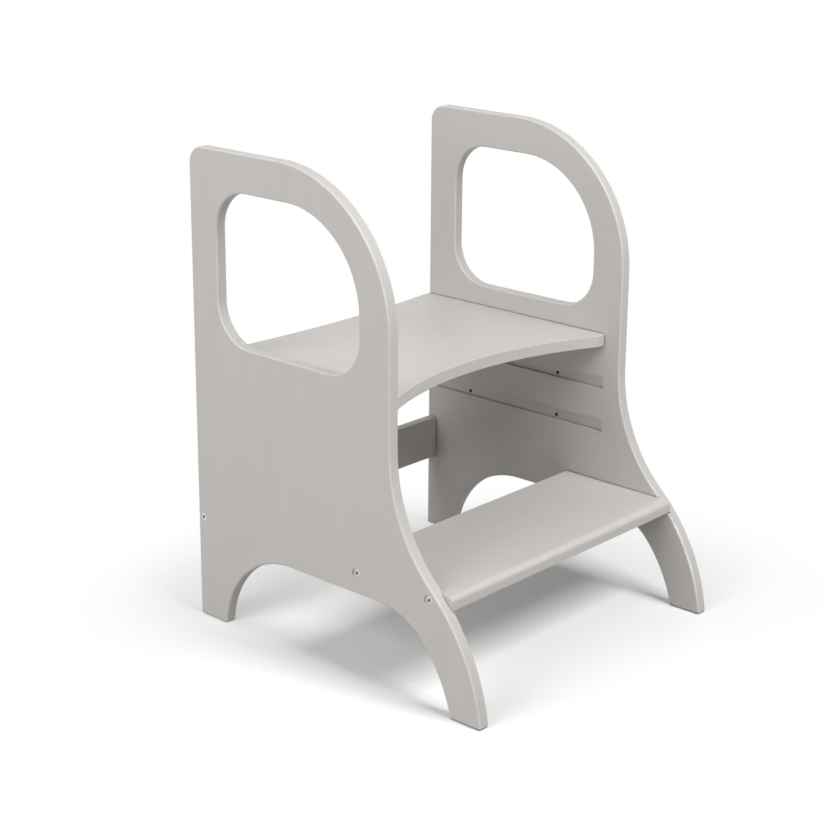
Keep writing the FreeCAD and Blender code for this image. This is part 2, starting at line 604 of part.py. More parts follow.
BOLT_PLACES = (
    ("Sizes.bolt_back_inset", "Derived.bolt_height"),
    ("Derived.bolt_front_depth", "Derived.bolt_height"),
)
TREAD_SCREW_PLACES = (
    ("Derived.tread_screw_back_depth", "Derived.tread_screw_height"),
    ("Derived.tread_screw_front_depth", "Derived.tread_screw_height"),
)
RAIL_SCREW_PLACES = (("Sizes.rail_screw_inset", "Derived.rail_screw_height"),)


def make_side_panel(name, inner_face_at_zero):
    """A side panel from x = 0 to its thickness. Its grooves are cut into the face that looks inwards."""
    body = new_body(name)
    inner = None if inner_face_at_zero else "Sizes.panel_thickness"
    outer = "Sizes.panel_thickness" if inner_face_at_zero else None
    inwards_from_inner = inner_face_at_zero
    inwards_from_outer = not inner_face_at_zero

    outline = new_sketch(body, name + "_outline", "YZ_Plane")
    draw_panel_outline(outline)
    add_pad(body, outline, "Sizes.panel_thickness")
    window = new_sketch(body, name + "_window", "YZ_Plane")
    draw_window(window)
    add_pocket(body, window, "Sizes.panel_thickness", forwards=True)

    add_rounding(body, name + "_feet", "Sizes.foot_round",
                 lambda edge: runs_along_x(edge) and near(edge.BoundBox.ZMax, 0))
    faces = (0, float(sizes.panel_thickness))

    def on_a_face(edge):
        return near(edge.BoundBox.XLength, 0) and any(near(edge.BoundBox.XMin, x) for x in faces)

    add_rounding(body, name + "_edges", "Sizes.edge_round", on_a_face)

    groove = new_sketch(body, name + "_platform_groove", "YZ_Plane", inner)
    draw_platform_groove(groove)
    groove_cut = add_pocket(body, groove, "Sizes.groove_depth", inwards_from_inner)
    bolt_holes = new_sketch(body, name + "_bolt_holes", "YZ_Plane", inner)
    circles(bolt_holes, BOLT_PLACES, "Sizes.bolt_hole_radius")
    bolt_cut = add_pocket(body, bolt_holes, "Derived.bolt_pocket_depth", inwards_from_inner)
    before = body.Shape.Volume
    levels = body.newObject("PartDesign::LinearPattern", name + "_levels")
    levels.Originals = [groove_cut, bolt_cut]
    levels.Direction = (groove, ["V_Axis"])
    levels.Reversed = True
    levels.setExpression("Length", "Derived.level_span")
    levels.setExpression("Occurrences", "Sizes.level_count")
    body.Tip = levels
    check_removed(levels, before)

    tread_groove = new_sketch(body, name + "_tread_groove", "YZ_Plane", inner)
    draw_tread_groove(tread_groove)
    add_pocket(body, tread_groove, "Sizes.groove_depth", inwards_from_inner)
    rail_recess = new_sketch(body, name + "_rail_recess", "YZ_Plane", inner)
    draw_rail_recess(rail_recess)
    add_pocket(body, rail_recess, "Sizes.groove_depth", inwards_from_inner)

    tread_bores = new_sketch(body, name + "_tread_screws", "YZ_Plane", outer)
    circles(tread_bores, TREAD_SCREW_PLACES, "Derived.screw_bore_radius")
    add_screw_holes(body, tread_bores, "Derived.sink_radius", "Derived.sink_depth", inwards_from_outer)
    rail_bores = new_sketch(body, name + "_rail_screw", "YZ_Plane", outer)
    circles(rail_bores, RAIL_SCREW_PLACES, "Derived.screw_bore_radius")
    add_screw_holes(body, rail_bores, "Derived.rail_sink_radius", "Derived.rail_sink_depth",
                    inwards_from_outer)
    return body


# ---------------------------------------------------------------- boards between the panels

def draw_platform(sketch):
    """The platform from above: hollow curves in front and behind, with a straight ear beside each panel."""
    end = derived.board_half_length
    curve = derived.curve_half_width
    front = derived.platform_front
    front_centre = (0, -(front - sizes.platform_front_curve) - derived.platform_front_radius)
    back_centre = (0, -sizes.platform_back_curve + derived.platform_back_radius)

    outline = Outline(sketch, (-end, -front))
    left_front = outline.line((-curve, -front))
    front_curve = outline.arc(front_centre, (curve, -front), leftwards=False, smooth=False)
    right_front = outline.line((end, -front))
    right_end = outline.line((end, 0))
    right_back = outline.line((curve, 0))
    back_curve = outline.arc(back_centre, (-curve, 0), leftwards=False, smooth=False)
    left_back = outline.line((-end, 0))
    left_end = outline.line((-end, -front))
    outline.close()

    for level in (left_front, right_front, right_back, left_back):
        straight(sketch, level, "Horizontal")
    for upright in (right_end, left_end):
        straight(sketch, upright, "Vertical")
    with_radius(sketch, front_curve, "Derived.platform_front_radius")
    with_radius(sketch, back_curve, "Derived.platform_back_radius")
    left_by(sketch, (left_front, 1), "Derived.board_half_length")
    right_by(sketch, (right_end, 1), "Derived.board_half_length")
    left_by(sketch, (left_front, 2), "Derived.curve_half_width")
    right_by(sketch, (right_front, 1), "Derived.curve_half_width")
    right_by(sketch, (right_back, 2), "Derived.curve_half_width")
    left_by(sketch, (left_back, 1), "Derived.curve_half_width")
    down_by(sketch, (left_front, 1), "Derived.platform_front")
    down_by(sketch, (right_front, 1), "Derived.platform_front")
    for corner in ((right_back, 1), (left_back, 2)):
        sketch.addConstraint(Sketcher.Constraint("PointOnObject", *corner, -1))


def mirror_to_other_end(body, originals):
    """Repeats features of a board's right-hand end at its left-hand end."""
    before = body.Shape.Volume
    mirrored = body.newObject("PartDesign::Mirrored", body.Name + "_other_end")
    mirrored.Originals = originals
    plane = next(feature for feature in body.Origin.OriginFeatures if feature.Role == "YZ_Plane")
    mirrored.MirrorPlane = (plane, [""])
    body.Tip = mirrored
    check_removed(mirrored, before)


def make_platform():
    body = new_body("platform")
    plan = new_sketch(body, "platform_plan", "XY_Plane")
    draw_platform(plan)
    add_pad(body, plan, "Sizes.platform_thickness")
    end = float(derived.board_half_length)
    levels = (0, float(sizes.platform_thickness))

    def front_or_back(edge):
        box = edge.BoundBox
        flat = near(box.ZLength, 0) and any(near(box.ZMin, level) for level in levels)
        at_end = near(box.XLength, 0) and near(abs(box.XMin), end)
        return flat and not at_end

    add_rounding(body, "platform_edges", "Sizes.platform_edge_round", front_or_back)

    cam_bores = new_sketch(body, "platform_cam_bores", "XY_Plane")
    for side, sideways_by in ((1, right_by), (-1, left_by)):
        for depth, _ in BOLT_PLACES:
            centre = Vector(side * derived.cam_x, -float(cam_bores.evalExpression(depth)))
            circle = Part.Circle(centre, Vector(0, 0, 1), sizes.cam_bore_radius)
            number = cam_bores.addGeometry(circle, False)
            sideways_by(cam_bores, (number, 3), "Derived.cam_x")
            down_by(cam_bores, (number, 3), depth)
            with_radius(cam_bores, number, "Sizes.cam_bore_radius")
    add_pocket(body, cam_bores, "Sizes.cam_bore_depth", forwards=True)

    end_bores = new_sketch(body, "platform_end_bores", "YZ_Plane", "Derived.board_half_length")
    circles(end_bores, [(depth, "Sizes.bolt_rise") for depth, _ in BOLT_PLACES], "Derived.bolt_bore_radius")
    bored = add_pocket(body, end_bores, "Derived.bolt_bore_depth", forwards=False)
    mirror_to_other_end(body, [bored])
    return body


def make_straight_board(name, low_depth, high_depth, board_height):
    """A board that runs from panel to panel, drawn by its section between two depths."""
    body = new_body(name)
    section = new_sketch(body, name + "_section", "YZ_Plane")
    low = (-float(section.evalExpression(high_depth)), 0)
    high = (-float(section.evalExpression(low_depth)), float(section.evalExpression(board_height)))
    lines = rounded_box(section, low, high, ())
    left_by(section, (lines[3], 1), high_depth)
    if low_depth == "0":
        section.addConstraint(Sketcher.Constraint("PointOnObject", lines[1], 1, -2))
    else:
        left_by(section, (lines[1], 1), low_depth)
    section.addConstraint(Sketcher.Constraint("PointOnObject", lines[0], 1, -1))
    up_by(section, (lines[2], 1), board_height)
    add_pad(body, section, "Derived.board_length", symmetric=True)
    return body


def add_pilot_bores(body, places):
    pilots = new_sketch(body, body.Name + "_pilots", "YZ_Plane", "Derived.board_half_length")
    circles(pilots, places, "Derived.pilot_radius")
    bored = add_pocket(body, pilots, "Derived.pilot_depth", forwards=False)
    mirror_to_other_end(body, [bored])


def make_step_tread():
    body = make_straight_board("step_tread", "Derived.tread_back", "Derived.tread_front",
                               "Sizes.tread_thickness")
    front = float(derived.tread_front)
    back = float(derived.tread_back)
    top = float(sizes.tread_thickness)

    def long_edge(depth, height):
        return lambda edge: (edge.BoundBox.XLength > derived.panel_inner
                             and near(edge.BoundBox.YMin, -depth) and near(edge.BoundBox.ZMin, height))

    add_rounding(body, "tread_nose", "Sizes.nose_round", long_edge(front, top))
    add_rounding(body, "tread_lower_front", "Sizes.tread_lower_edge_round", long_edge(front, 0))
    add_rounding(body, "tread_upper_back", "Sizes.board_round", long_edge(back, top))
    add_rounding(body, "tread_lower_back", "Sizes.board_round", long_edge(back, 0))
    add_pilot_bores(body, [(depth, "Sizes.tread_screw_rise") for depth, _ in TREAD_SCREW_PLACES])
    return body


def make_back_rail():
    body = make_straight_board("back_rail", "0", "Sizes.rail_thickness", "Sizes.rail_width")
    add_rounding(body, "rail_edges", "Sizes.board_round", runs_along_x)
    add_pilot_bores(body, [(depth, "Derived.rail_screw_rise") for depth, _ in RAIL_SCREW_PLACES])
    return body


# ---------------------------------------------------------------- screws, bolts and cams

def turned_profile(sketch, steps):
    """The half section of a turned piece along the sketch's X axis.

    Each step is (x formula, radius formula) of one corner. The run starts and ends on the axis.
    """
    def value(formula):
        return float(sketch.evalExpression(formula))

    corners = [(value(along), value(radius)) for along, radius in steps]
    outline = Outline(sketch, (corners[-1][0], 0))
    axis = outline.line((corners[0][0], 0))
    sides = []
    for (x, radius), (x_before, radius_before) in zip(corners, [(corners[0][0], 0)] + corners[:-1]):
        if (x, radius) != (x_before, radius_before):
            sides.append(outline.line((x, radius)))
    if corners[-1][1] > 0:
        outline.line((corners[-1][0], 0))
    outline.close()
    sketch.addConstraint(Sketcher.Constraint("PointOnObject", axis, 1, -1))
    sketch.addConstraint(Sketcher.Constraint("PointOnObject", axis, 2, -1))
    for (along, radius), side in zip(steps, sides):
        sideways_by = left_by if value(along) < 0 else right_by
        sideways_by(sketch, (side, 2), along.lstrip("-"))
        if value(radius) > 0:
            up_by(sketch, (side, 2), radius)
    straight(sketch, sides[0], "Vertical")
    if corners[-1][1] > 0:
        straight(sketch, sides[-1] + 1, "Vertical")


def make_wood_screw(name):
    """A countersunk screw along +X with the top of its head at x = 0."""
    body = new_body(name)
    section = new_sketch(body, name + "_section", "XY_Plane")
    turned_profile(section, (
        ("0", "Sizes.wood_screw_head_radius"),
        ("Sizes.wood_screw_head_rim", "Sizes.wood_screw_head_radius"),
        ("Derived.screw_cone_end", "Sizes.wood_screw_neck_radius"),
        ("Derived.screw_neck_end", "Sizes.wood_screw_neck_radius"),
        ("Derived.screw_neck_end", "Sizes.wood_screw_core_radius"),
        ("Derived.screw_core_end", "Sizes.wood_screw_core_radius"),
        ("Sizes.wood_screw_length", "0"),
    ))
    add_revolution(body, section, "H_Axis")
    recess = new_sketch(body, name + "_recess", "YZ_Plane")
    recess.setExpression("AttachmentOffset.Rotation.Angle", "Sizes.cross_turn")
    centred_bar(recess, "Sizes.cross_width", "Sizes.cross_arm")
    add_cross_recess(body, recess, "Sizes.cross_depth")
    return body


def make_connecting_bolt(name):
    """A bolt along X: its thread goes towards +X from the groove's floor at x = 0, its head lies inwards."""
    body = new_body(name)
    section = new_sketch(body, name + "_section", "XY_Plane")
    turned_profile(section, (
        ("-Derived.bolt_head_end", "Sizes.bolt_head_radius"),
        ("-Derived.bolt_head_start", "Sizes.bolt_head_radius"),
        ("-Derived.bolt_head_start", "Sizes.bolt_neck_radius"),
        ("-Sizes.bolt_shank_length", "Sizes.bolt_neck_radius"),
        ("-Sizes.bolt_shank_length", "Sizes.bolt_shank_radius"),
        ("0", "Sizes.bolt_shank_radius"),
        ("0", "Derived.bolt_thread_radius"),
        ("Sizes.bolt_thread_length - Sizes.bolt_edge", "Derived.bolt_thread_radius"),
        ("Sizes.bolt_thread_length", "Derived.bolt_thread_radius - Sizes.bolt_edge"),
    ))
    add_revolution(body, section, "H_Axis")
    recess = new_sketch(body, name + "_recess", "YZ_Plane", "-Derived.bolt_head_end")
    centred_bar(recess, "Sizes.bolt_cross_width", "Sizes.bolt_cross_arm")
    add_cross_recess(body, recess, "Sizes.bolt_cross_depth")
    return body


def sector(sketch, start_angle, end_angle, radius):
    """A pie slice round the sketch's origin, leftwards from the start to the end angle, all as formulas."""
    start = math.radians(float(sketch.evalExpression(start_angle)))
    end = math.radians(float(sketch.evalExpression(end_angle)))
    reach = float(sketch.evalExpression(radius))
    circle = Part.Circle(Vector(0, 0), Vector(0, 0, 1), reach)
    arc = sketch.addGeometry(Part.ArcOfCircle(circle, start, end), False)
    sketch.addConstraint(Sketcher.Constraint("Coincident", arc, 3, *ORIGIN_POINT))
    with_radius(sketch, arc, radius)
    for arc_end, angle, formula in ((1, start, start_angle), (2, end, end_angle)):
        tip = Vector(reach * math.cos(angle), reach * math.sin(angle))
        side = sketch.addGeometry(Part.LineSegment(Vector(0, 0), tip), False)
        sketch.addConstraint(Sketcher.Constraint("Coincident", side, 1, *ORIGIN_POINT))
        sketch.addConstraint(Sketcher.Constraint("Coincident", side, 2, arc, arc_end))
        number = sketch.addConstraint(Sketcher.Constraint("Angle", side, angle))
        sketch.setExpression(f"Constraints[{number}]", formula)


def make_cam(name):
    """A cam about Z with its lower face at z = 0. Locked, it holds a bolt that comes in from +X.

    It turns clockwise, seen from above, to let the bolt's head out of its entry opening.
    """
    body = new_body(name)
    disc = new_sketch(body, name + "_disc", "XY_Plane")
    centred_circle(disc, "Derived.cam_radius")
    add_pad(body, disc, "Sizes.cam_height")
    add_rounding(body, name + "_edge", "Sizes.cam_edge", lambda edge: near(edge.BoundBox.ZMax, 0),
                 kind="PartDesign::Chamfer")

    cavity = new_sketch(body, name + "_cavity", "XY_Plane", "Derived.cam_cavity_bottom")
    centred_circle(cavity, "Sizes.cam_cavity_radius")
    add_pocket(body, cavity, "Sizes.cam_cavity_height", forwards=True)

    past_rim = "Derived.cam_radius + Sizes.cam_edge"
    open_start = "Sizes.cam_turn - Sizes.cam_entry_half_angle"
    open_end = "Sizes.cam_turn + Sizes.cam_entry_half_angle"
    slot = new_sketch(body, name + "_slot", "XY_Plane", "Derived.cam_slot_bottom")
    sector(slot, "-Sizes.cam_slot_lead", open_start, past_rim)
    add_pocket(body, slot, "Sizes.cam_slot_height", forwards=True)
    entry = new_sketch(body, name + "_entry", "XY_Plane", "Derived.cam_cavity_bottom")
    sector(entry, open_start, open_end, past_rim)
    add_pocket(body, entry, "Sizes.cam_cavity_height", forwards=True)

    recess = new_sketch(body, name + "_recess", "XY_Plane")
    centred_bar(recess, "Sizes.cam_cross_width", "Sizes.cam_cross_arm")
    add_cross_recess(body, recess, "Sizes.cam_cross_depth")
    return body


# ---------------------------------------------------------------- the stool

def place(body, x, depth, z, turned=False):
    """Puts a piece into the stool's frame. A turned piece faces the other way along X."""
    rotation = FreeCAD.Rotation(Vector(0, 0, 1), HALF_TURN if turned else 0)
    body.Placement = FreeCAD.Placement(Vector(x, middle_depth - depth, z), rotation)


left_panel = make_side_panel("left_side_panel", inner_face_at_zero=False)
right_panel = make_side_panel("right_side_panel", inner_face_at_zero=True)
platform = make_platform()
step_tread = make_step_tread()
back_rail = make_back_rail()

# The rounded feet are a little shorter than the outline, so the middle is measured on the panel.
middle_depth = -left_panel.Shape.optimalBoundingBox(False, False).Center.y
half_width = sizes.overall_width / 2
place(left_panel, -half_width, 0, 0)
place(right_panel, derived.panel_inner, 0, 0)
place(platform, 0, 0, derived.platform_bottom)
place(step_tread, 0, 0, derived.tread_bottom)
place(back_rail, 0, 0, sizes.rail_height)

SIDES = (("left", -1), ("right", 1))
for side_name, side in SIDES:
    turned_left = side < 0
    for end_name, screw_depth in (("rear", derived.tread_screw_back_depth),
                                  ("front", derived.tread_screw_front_depth)):
        screw = make_wood_screw(f"step_screw_{side_name}_{end_name}")
        place(screw, side * (half_width - sizes.wood_screw_sink), screw_depth, derived.tread_screw_height,
              turned=not turned_left)
    rail_screw = make_wood_screw(f"rail_screw_{side_name}")
    place(rail_screw, side * (half_width - sizes.rail_screw_sink), sizes.rail_screw_inset,
          derived.rail_screw_height, turned=not turned_left)
    for end_name, bolt_depth in (("rear", sizes.bolt_back_inset), ("front", derived.bolt_front_depth)):
        bolt = make_connecting_bolt(f"connecting_bolt_{side_name}_{end_name}")
        place(bolt, side * derived.groove_floor, bolt_depth, derived.bolt_height, turned=turned_left)
        cam = make_cam(f"cam_{side_name}_{end_name}")
        place(cam, side * derived.cam_x, bolt_depth, derived.cam_bottom, turned=turned_left)
doc.recompute()

for item in doc.Objects:
    if "Invalid" in item.State or "Error" in item.State:
        raise RuntimeError(f"{item.Label} failed: {item.State}")

os.makedirs("parts", exist_ok=True)
bodies = [item for item in doc.Objects if item.TypeId == "PartDesign::Body"]
for body in bodies:
    if body.Shape.isNull() or not body.Shape.isValid() or len(body.Shape.Solids) != 1:
        raise RuntimeError(body.Label + " is not one sound solid")
for body in bodies:
    body.Shape.exportStep(f"parts/{body.Label}.step")
    box = body.Shape.optimalBoundingBox(False, False)
    print(f"{body.Label}: {box.XMin:.2f} {box.XMax:.2f}, {box.YMin:.2f} {box.YMax:.2f}, "
          f"{box.ZMin:.2f} {box.ZMax:.2f}, {body.Shape.Volume / 1000:.2f} cm3")
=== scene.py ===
import bpy
import json
import math
from mathutils import Matrix, Vector

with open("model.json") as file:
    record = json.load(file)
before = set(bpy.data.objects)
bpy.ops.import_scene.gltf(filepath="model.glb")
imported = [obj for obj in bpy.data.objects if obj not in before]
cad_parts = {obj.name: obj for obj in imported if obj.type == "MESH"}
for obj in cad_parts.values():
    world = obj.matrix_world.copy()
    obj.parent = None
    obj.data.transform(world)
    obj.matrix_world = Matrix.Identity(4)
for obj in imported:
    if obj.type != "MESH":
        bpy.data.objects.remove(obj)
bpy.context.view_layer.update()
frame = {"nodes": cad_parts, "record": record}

X, Y, Z = range(3)


def srgb(red, green, blue):
    """A colour given as 0-255 display values, as the linear values that shaders take."""
    def linear(value):
        value /= 255
        return value / 12.92 if value <= 0.04045 else ((value + 0.055) / 1.055) ** 2.4
    return (linear(red), linear(green), linear(blue), 1)


# ---------------------------------------------------------------- numbers of the camera

CAMERA_PLACE = Vector((-1.7089, -1.4840, 1.0247))
CAMERA_AZIMUTH = math.radians(-47.552)
CAMERA_ELEVATION = math.radians(17.009)
CAMERA_ROLL = math.radians(0.369)
CAMERA_LENS = 81.77
CAMERA_SENSOR = 36
CAMERA_SHIFT = -0.0504

# ---------------------------------------------------------------- numbers of the materials
#
# A pattern is noise: its cells per metre, its detail and its roughness. Streaks have two counts of
# cells, along one axis and across it. A range is two values, and the two that they are turned into
# where those aren't 0 and 1. Shares are how much of each of two patterns goes into their sum. A
# relief is the height of a bump, in metres.

PAINT_LIGHT = srgb(208, 205, 201)
PAINT_DARK = srgb(206, 202, 198)
# Paler paint on the rounded edges, for wear and for a painted highlight along every edge.
PAINT_THIN_AND_HIGHLIGHT = srgb(224, 222, 218)
PAINT_THICK = srgb(199, 195, 190)
# The colour of the painted shade in holes and in the corners of grooves.
HOLLOW_SHADE = srgb(48, 45, 41)

DRIFT = (5, 2, 0.5)
WEAR_AND_HIGHLIGHT_PATTERN = (38, 4, 0.65)
ORANGE_PEEL = (520, 1, 0.5)
DUST = (1700, 1, 0.5)
FIGURE_STREAKS = (2.2, 46, 4, 0.6)
PORE_STREAKS = (9, 420, 3, 0.6)
BRUSH_STREAKS = (16, 900, 2, 0.5)
FIBRE_STREAKS = (1500, 60, 3, 0.6)

EDGE_RANGE = (0.5, 0.1)
ROUNDING_RANGE = (0.25, 0.8)
TONE_RANGE = (0.34, 0.66)
PORE_RANGE = (0.62, 0.8, 0.0, 0.12)
WEAR_AND_HIGHLIGHT_RANGE = (0.42, 0.66, 0.45, 1.0)
SHEEN_RANGE = (0.3, 0.7, 0.40, 0.50)

TONE_SHARES = (0.45, 0.55)
SHEEN_SHARES = (0.5, 0.5)
STREAK_SHARES = (0.6, 0.4)
FIBRE_SHARES = (1.0, 0.5)

WEAR_AND_HIGHLIGHT_PALER = 0.8
RUBBED_SMOOTHER = -0.06
EDGE_ROUGHER = 0.07

FIGURE_RELIEF = 0.00018
FIGURE_STRENGTH = 0.5
STREAK_RELIEF = 0.00006
ORANGE_PEEL_RELIEF = 0.00004
FIBRE_RELIEF = 0.00010

# Painted shade in hollows, dark where walls within reach hide them, with tarnish on the metal: how
# far walls count, and the range.
PAINT_HOLLOW_SHADE = (0.006, (0.66, 0.36, 0.0, 0.95))
METAL_TARNISH_AND_SHADE = (0.003, (0.75, 0.4, 0.0, 0.96))
HOLLOW_SAMPLES = 8

# Tarnish and painted shade down in the recesses of the zinc.
TARNISH_AND_SHADE = srgb(38, 39, 42)
# Bright colour, dull colour, roughness and crystals per metre.
SCREW_ZINC = (srgb(226, 229, 231), srgb(196, 199, 203), 0.22, 1800)
CAM_ZINC = (srgb(186, 187, 189), srgb(152, 153, 156), 0.38, 1400)
# Cells for every crystal, and detail.
SPECKS = (2.5, 2)
CLOUDS = (0.3, 3)
CLOUD_RANGE = (0.35, 0.65)
SPECK_RANGE = (0.6, 0.8, 0.0, 0.35)
CRYSTALS_ROUGHER = 0.12
SPECKS_ROUGHER = 0.08
METAL_RELIEF = 0.00002

# ---------------------------------------------------------------- numbers of floor and light

WHITE = (1, 1, 1, 1)
FLOOR_REACH = 30
FLOOR_DROP = 0.0002
FLOOR_BOUNCE = (0.4, 0.4, 0.4, 1)
FLOOR_GLOW = 0.03
SHADOW_MIDDLE = (-0.04, -0.10, 0)
SHADOW_FADE = (0.24, 0.60)
WORLD_LEVEL = 0.18
MIDDLE = (0, 0, 0.3)
# Name, place, size and level.
SOFTBOXES = (
    ("front", (0, -1.9, 2.6), 1.2, 0.73),
    ("left_front", (-3, -0.6, 1.6), 2.4, 0.10),
    ("left", (-2.9, 0.3, 1.7), 2.0, 0.42),
    ("right", (3, 0.6, 0.8), 2.0, 0.16),
    ("back", (-0.3, 3, 0.9), 2.0, 0.18),
)


# ---------------------------------------------------------------- node helpers

class Nodes:
    """A short way to write a node tree."""

    # The sockets of a mix node that mixes colours. Others on that node carry the same names.
    MIX_FACTOR, MIX_ONE, MIX_OTHER, MIX_RESULT = 0, 6, 7, 2

    def __init__(self, tree):
        self.tree = tree

    def add(self, kind, inputs=None, **settings):
        node = self.tree.nodes.new(kind)
        for name, value in settings.items():
            setattr(node, name, value)
        for name, value in (inputs or {}).items():
            self.put(node.inputs[name], value)
        return node

    def put(self, socket, value):
        if isinstance(value, bpy.types.NodeSocket):
            self.tree.links.new(value, socket)
        else:
            socket.default_value = value

    def noise(self, place, cells, detail, roughness=0.5):
        node = self.add("ShaderNodeTexNoise", {"Vector": place, "Scale": cells, "Detail": detail,
                                               "Roughness": roughness})
        return node.outputs["Fac"]

    def streaks(self, place, axis, along, across, detail, roughness):
        """Noise with other cells along one axis than across it."""
        cells = [along if side == axis else across for side in (X, Y, Z)]
        stretched = self.add("ShaderNodeMapping", {"Vector": place, "Scale": cells})
        return self.noise(stretched.outputs["Vector"], 1, detail, roughness)

    def mix(self, factor, one, other):
        node = self.add("ShaderNodeMix", data_type="RGBA")
        self.put(node.inputs[self.MIX_FACTOR], factor)
        self.put(node.inputs[self.MIX_ONE], one)
        self.put(node.inputs[self.MIX_OTHER], other)
        return node.outputs[self.MIX_RESULT]

    def maths(self, operation, one, other=0.0, third=0.0, clamp=False):
        node = self.add("ShaderNodeMath", operation=operation, use_clamp=clamp)
        for socket, value in zip(node.inputs, (one, other, third)):
            self.put(socket, value)
        return node.outputs[0]

    def weigh(self, one, other, shares):
        return self.maths("ADD", self.maths("MULTIPLY", one, shares[0]),
                          self.maths("MULTIPLY", other, shares[1]))

    def spread(self, value, low, high, to_low=0.0, to_high=1.0, smooth=True):
        """The value's range from low to high, stretched to another range and clamped to it."""
        node = self.add("ShaderNodeMapRange", {"Value": value, "From Min": low, "From Max": high,
                                               "To Min": to_low, "To Max": to_high})
        node.interpolation_type = "SMOOTHSTEP" if smooth else "LINEAR"
        return node.outputs["Result"]

    def paint_shade_in_hollows(self, colour, dark, reach, shut_range):
        """The colour, with painted shade: a dark colour where walls within reach leave little of
        the open side.
        """
        node = self.add("ShaderNodeAmbientOcclusion", {"Distance": reach}, samples=HOLLOW_SAMPLES)
        return self.mix(self.spread(node.outputs["AO"], *shut_range), colour, dark)

    def bump(self, height, relief, normal=None, strength=1.0):
        node = self.add("ShaderNodeBump", {"Height": height, "Distance": relief,
                                           "Strength": strength})
        if normal:
            self.put(node.inputs["Normal"], normal)
        return node.outputs["Normal"]

    def finish(self, colour, roughness, normal, metallic=0.0):
        shader = self.add("ShaderNodeBsdfPrincipled", {"Base Color": colour, "Metallic": metallic,
                                                       "Roughness": roughness, "Normal": normal})
        self.add("ShaderNodeOutputMaterial", {"Surface": shader.outputs[0]})


def new_material(name):
    material = bpy.data.materials.new(name)
    material.use_nodes = True
    material.node_tree.nodes.clear()
    return material, Nodes(material.node_tree)


# ---------------------------------------------------------------- materials

def painted_wood(name, grain, face):
    """Satin paint on a board. Its grain runs along one axis, and its faces look along another."""
    material, n = new_material(name)
    coordinates = n.add("ShaderNodeTexCoord")
    place = coordinates.outputs["Object"]

    # How far the surface looks along the faces' axis: 1 on a face, 0 on a cut edge, and halfway on
    # the rounding between them.
    facing = n.add("ShaderNodeSeparateXYZ", {"Vector": coordinates.outputs["Normal"]}).outputs[face]
    facing = n.maths("ABSOLUTE", facing)
    from_halfway = n.maths("ABSOLUTE", n.maths("MULTIPLY_ADD", facing, 2.0, -1.0))
    rounding = n.spread(n.maths("SUBTRACT", 1.0, from_halfway), *ROUNDING_RANGE)
    cut_edge = n.spread(facing, *EDGE_RANGE)

    # The wood that shows through the paint, the paint's own marks, and wear with a painted
    # highlight along the rounded edges.
    drift = n.noise(place, *DRIFT)
    figure = n.streaks(place, grain, *FIGURE_STREAKS)
    pores = n.streaks(place, grain, *PORE_STREAKS)
    strokes = n.streaks(place, grain, *BRUSH_STREAKS)
    wear_and_highlight = n.maths("MULTIPLY", rounding, n.spread(n.noise(place, *WEAR_AND_HIGHLIGHT_PATTERN), *WEAR_AND_HIGHLIGHT_RANGE))

    tone = n.weigh(drift, figure, TONE_SHARES)
    colour = n.mix(n.spread(tone, *TONE_RANGE), PAINT_DARK, PAINT_LIGHT)
    colour = n.mix(n.spread(pores, *PORE_RANGE), colour, PAINT_THICK)
    # Wear and a painted highlight: paler paint on the rounded edges, patchy but never less than
    # about half.
    colour = n.mix(n.maths("MULTIPLY", wear_and_highlight, WEAR_AND_HIGHLIGHT_PALER), colour, PAINT_THIN_AND_HIGHLIGHT)
    # Painted shade at the bottom of holes and in the corners of grooves.
    colour = n.paint_shade_in_hollows(colour, HOLLOW_SHADE, *PAINT_HOLLOW_SHADE)

    roughness = n.spread(n.weigh(strokes, drift, SHEEN_SHARES), *SHEEN_RANGE, smooth=False)
    roughness = n.maths("MULTIPLY_ADD", cut_edge, EDGE_ROUGHER, roughness)
    roughness = n.maths("MULTIPLY_ADD", wear_and_highlight, RUBBED_SMOOTHER, roughness)

    normal = n.bump(figure, FIGURE_RELIEF, strength=FIGURE_STRENGTH)
    normal = n.bump(n.weigh(pores, strokes, STREAK_SHARES), STREAK_RELIEF, normal)
    normal = n.bump(n.noise(place, *ORANGE_PEEL), ORANGE_PEEL_RELIEF, normal)
    # The cut edges stay a little fibrous and hold dust.
    fibres = n.streaks(place, face, *FIBRE_STREAKS)
    fibres = n.weigh(fibres, n.noise(place, *DUST), FIBRE_SHARES)
    normal = n.bump(n.maths("MULTIPLY", fibres, cut_edge), FIBRE_RELIEF, normal)
    n.finish(colour, roughness, normal)
    return material


def plated_metal(name, bright, dull, roughness, crystals_per_metre):
    """Zinc, with its fine crystals, duller clouds and specks, and dark tarnish and painted shade in
    the recesses.
    """
    material, n = new_material(name)
    place = n.add("ShaderNodeTexCoord").outputs["Object"]
    crystals = n.add("ShaderNodeTexVoronoi", {"Vector": place, "Scale": crystals_per_metre})
    crystals = crystals.outputs["Distance"]
    specks, clouds = (n.noise(place, crystals_per_metre * cells, detail)
                      for cells, detail in (SPECKS, CLOUDS))

    colour = n.mix(n.spread(clouds, *CLOUD_RANGE), dull, bright)
    colour = n.mix(n.spread(specks, *SPECK_RANGE), colour, dull)
    # Tarnish and painted shade where walls close in on the recesses.
    colour = n.paint_shade_in_hollows(colour, TARNISH_AND_SHADE, *METAL_TARNISH_AND_SHADE)
    roughness = n.maths("MULTIPLY_ADD", crystals, CRYSTALS_ROUGHER, roughness)
    roughness = n.maths("MULTIPLY_ADD", specks, SPECKS_ROUGHER, roughness)
    normal = n.bump(n.maths("ADD", specks, crystals), METAL_RELIEF)
    n.finish(colour, roughness, normal, metallic=1.0)
    return material


